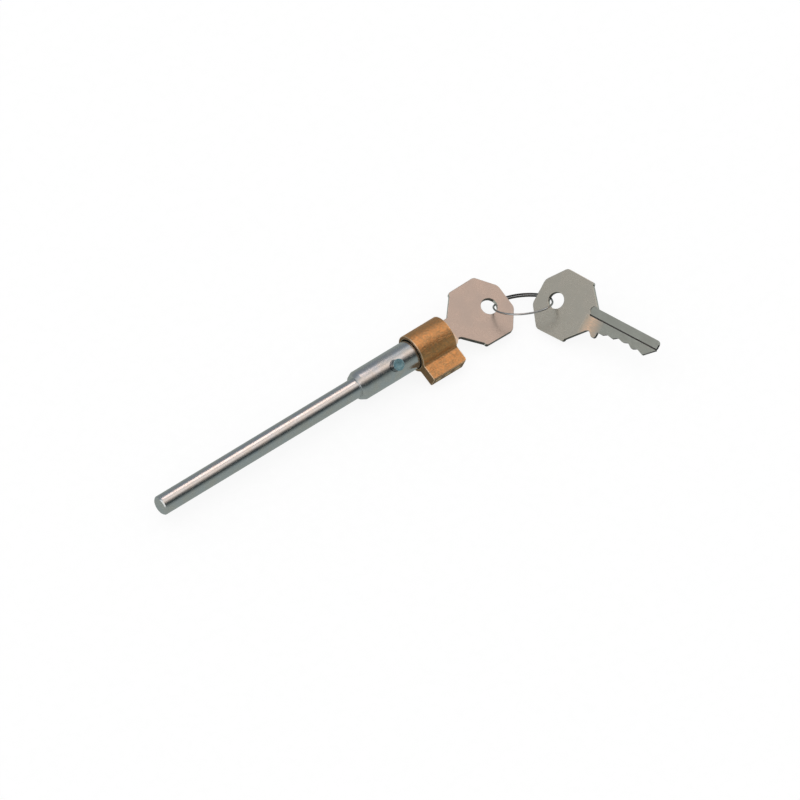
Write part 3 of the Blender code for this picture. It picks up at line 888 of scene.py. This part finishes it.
def show_keys():
    coats = [EDGE_PAINTED_SHADE, MILLED_NICKEL, GROOVE_SHADE, RAMP_NICKEL, EDGE_PAINTED_HIGHLIGHT]
    for name, plated, slot, body, place, node in (
            ("key_metal", NICKEL_WARM, "key_nickel_warm", "key", key_place(), "key_in_lock"),
            ("spare_metal", NICKEL_GREY, "key_nickel_grey", "spare", spare_place(), "spare_key")):
        show(name, key_mesh(), plated, slot, body, place, node, flat_above=KEY_FLAT, coats=coats,
             choose=key_coat(place))


def eased(t):
    """0 up to t = 0 and 1 from t = 1, with a smooth rise between them."""
    t = min(max(t, 0.0), 1.0)
    return t * t * (3 - 2 * t)


def show_ring():
    """One turn and a third of wire: its ends lie side by side along the overlap."""
    start, end = OVERLAP
    last = end + 360
    points = []
    for i in range(RING_STEPS + 1):
        angle = start + (last - start) * i / RING_STEPS
        above = eased((angle - 360) / start)
        below = eased((180 - angle) / (180 - end))
        level = TURN_SPACING / 2 * (above - below)
        turn = math.radians(angle)
        points.append(Vector((RING_R * (1 + math.cos(turn)), RING_R * math.sin(turn), level)))
    # The overlap's wire takes the dark material and the single turn the bright one.
    show("ring_wire", wire(points, WIRE_R), RING_STEEL, "spring_steel", "ring", ring_place(),
         "split_ring", coats=[RING_DARK],
         choose=lambda centre, normal: 1 if centre.y > OVERLAP_Y else 0)


def dress_cad_nodes():
    """The small pieces inside the lock keep their CAD meshes and get finished materials."""
    for number in (1, 2, 3):
        for node, material in (
                ("key_pin", BRASS), ("driver_pin", PIN_STEEL), ("chamber_cap", PLUG_BRASS)):
            mesh = frame["nodes"][f"{node}_{number}"].data
            mesh.materials.clear()
            mesh.materials.append(material)


# ---------------------------------------------------------------- studio

def glow_material(name, colour_of):
    """A material that only glows; colour_of gives its colour, or makes nodes for it in the tree."""
    material = bpy.data.materials.new(name)
    material.use_nodes = True
    tree = material.node_tree
    tree.nodes.clear()
    glow = add(tree, "Emission", {"Color": colour_of(tree)})
    output = add(tree, "OutputMaterial")
    tree.links.new(glow.outputs["Emission"], output.inputs["Surface"])
    return material


def flat_glow(name, colour):
    return glow_material(name, lambda tree: (*colour, 1))


def tent_colour(tree):
    """The light's colour round the tent, from TENT_STOPS: (share of the way round, colour)."""
    round_the_tent = add(tree, "UVMap").outputs["UV"]
    across = add(tree, "SeparateXYZ", {"Vector": round_the_tent}).outputs["X"]
    ramp = add(tree, "ValToRGB", {"Fac": across})
    elements = ramp.color_ramp.elements
    for element, (position, colour) in zip(elements, (TENT_STOPS[0], TENT_STOPS[-1])):
        element.position, element.color = position, (*colour, 1)
    for position, colour in TENT_STOPS[1:-1]:
        elements.new(position).color = (*colour, 1)
    return ramp.outputs["Color"]


def light_tent():
    """A long half-round tent over the table, seen only in reflections: a flag, a warm reflector,
    a strip of light near the top and a cool far side."""
    steps = 90
    work = bmesh.new()
    layer = work.loops.layers.uv.new("round")
    centre_x = (CAD_BOX[0].x + CAD_BOX[1].x) / 2
    rows = []
    for i in range(steps + 1):
        angle = math.pi * i / steps
        y = -TENT_RADIUS * math.cos(angle)
        z = FLOOR_Z + TENT_RADIUS * math.sin(angle)
        ends = (centre_x - TENT_LENGTH / 2, centre_x + TENT_LENGTH / 2)
        rows.append([work.verts.new((x, y, z)) for x in ends])
    for i in range(steps):
        face = work.faces.new((rows[i][0], rows[i][1], rows[i + 1][1], rows[i + 1][0]))
        for loop, share in zip(face.loops, (i, i, i + 1, i + 1)):
            loop[layer].uv = (share / steps, 0)
    mesh = bpy.data.meshes.new("tent")
    work.to_mesh(mesh)
    work.free()
    mesh.materials.append(glow_material("tent_light", tent_colour))
    return mesh


def reflections_only(name, mesh):
    """Add a piece of the studio that only polished surfaces see."""
    stage = bpy.data.objects.new(name, mesh)
    bpy.context.scene.collection.objects.link(stage)
    stage.visible_camera = False
    stage.visible_diffuse = False
    stage.visible_transmission = False
    stage.visible_volume_scatter = False
    stage.visible_shadow = False


def sheet(name, size, z):
    half = size / 2
    mesh = bpy.data.meshes.new(name)
    corners = [(-half, -half, z), (half, -half, z), (half, half, z), (-half, half, z)]
    mesh.from_pydata(corners, [], [(0, 1, 2, 3)])
    return mesh


def paper():
    """Pale paper with a faint fibre, and a glow of its own that keeps it even."""
    material = bpy.data.materials.new("floor_paper")
    material.use_nodes = True
    tree = material.node_tree
    shader = tree.nodes["Principled BSDF"]
    fibre = noise(tree, 4.0, detail=4.0)
    pale = PAPER_DIFFUSE + 0.01
    colour = mix(tree, fibre, (*[PAPER_DIFFUSE] * 3, 1), (*[pale] * 3, 1))
    tree.links.new(colour, shader.inputs["Base Color"])
    shader.inputs["Emission Color"].default_value = (1, 1, 1, 1)
    shader.inputs["Emission Strength"].default_value = PAPER_GLOW
    shader.inputs["Roughness"].default_value = 0.9
    shader.inputs["Specular IOR Level"].default_value = 0.1
    return material


def card_over_rod():
    """A bright card near the rod, placed so that the rod reflects it and the barrel does not."""
    low, high = (math.radians(a) for a in CARD_ANGLES)
    start, end = CARD_SPAN
    corners = []
    for angle, x in ((low, start), (low, end), (high, end), (high, start)):
        corners.append((x, -CARD_REACH * math.cos(angle), CARD_REACH * math.sin(angle)))
    mesh = bpy.data.meshes.new("card")
    mesh.from_pydata(corners, [], [(0, 1, 2, 3)])
    mesh.materials.append(flat_glow("card_glow", CARD_GLOW))
    return mesh


def make_studio():
    floor = bpy.data.objects.new("floor", sheet("floor", FLOOR_SIZE, FLOOR_Z))
    floor.data.materials.append(paper())
    bpy.context.scene.collection.objects.link(floor)
    reflections_only("light_tent", light_tent())
    reflections_only("rod_card", card_over_rod())
    table_mesh = sheet("table_tone", FLOOR_SIZE, FLOOR_Z + TABLE_LIFT * MM)
    table_mesh.materials.append(flat_glow("table_glow", TABLE_TONE))
    reflections_only("table_tone", table_mesh)
    world = bpy.data.worlds.new("daylight")
    bpy.context.scene.world = world
    world.use_nodes = True
    backdrop = world.node_tree.nodes["Background"]
    backdrop.inputs["Color"].default_value = (1, 1, 1, 1)
    backdrop.inputs["Strength"].default_value = DAYLIGHT


def make_camera():
    azimuth, elevation = math.radians(VIEW_AZIMUTH), math.radians(VIEW_ELEVATION)
    back = Vector((
        math.sin(azimuth) * math.cos(elevation), -math.cos(azimuth) * math.cos(elevation),
        math.sin(elevation)))
    data = bpy.data.cameras.new("camera")
    data.sensor_width = SENSOR
    data.lens = SENSOR * VIEW_DISTANCE / VIEW_WIDTH
    data.clip_start, data.clip_end = CLIP
    camera = bpy.data.objects.new("camera", data)
    bpy.context.scene.collection.objects.link(camera)
    camera.location = VIEW_TARGET + back * VIEW_DISTANCE
    camera.rotation_euler = (-back).to_track_quat("-Z", "Y").to_euler()
    bpy.context.scene.camera = camera


bpy.context.scene.view_settings.view_transform = "Standard"
show_pin()
show_stud()
show_housing()
show_plug()
show_springs()
show_keys()
show_ring()
dress_cad_nodes()
make_studio()
make_camera()
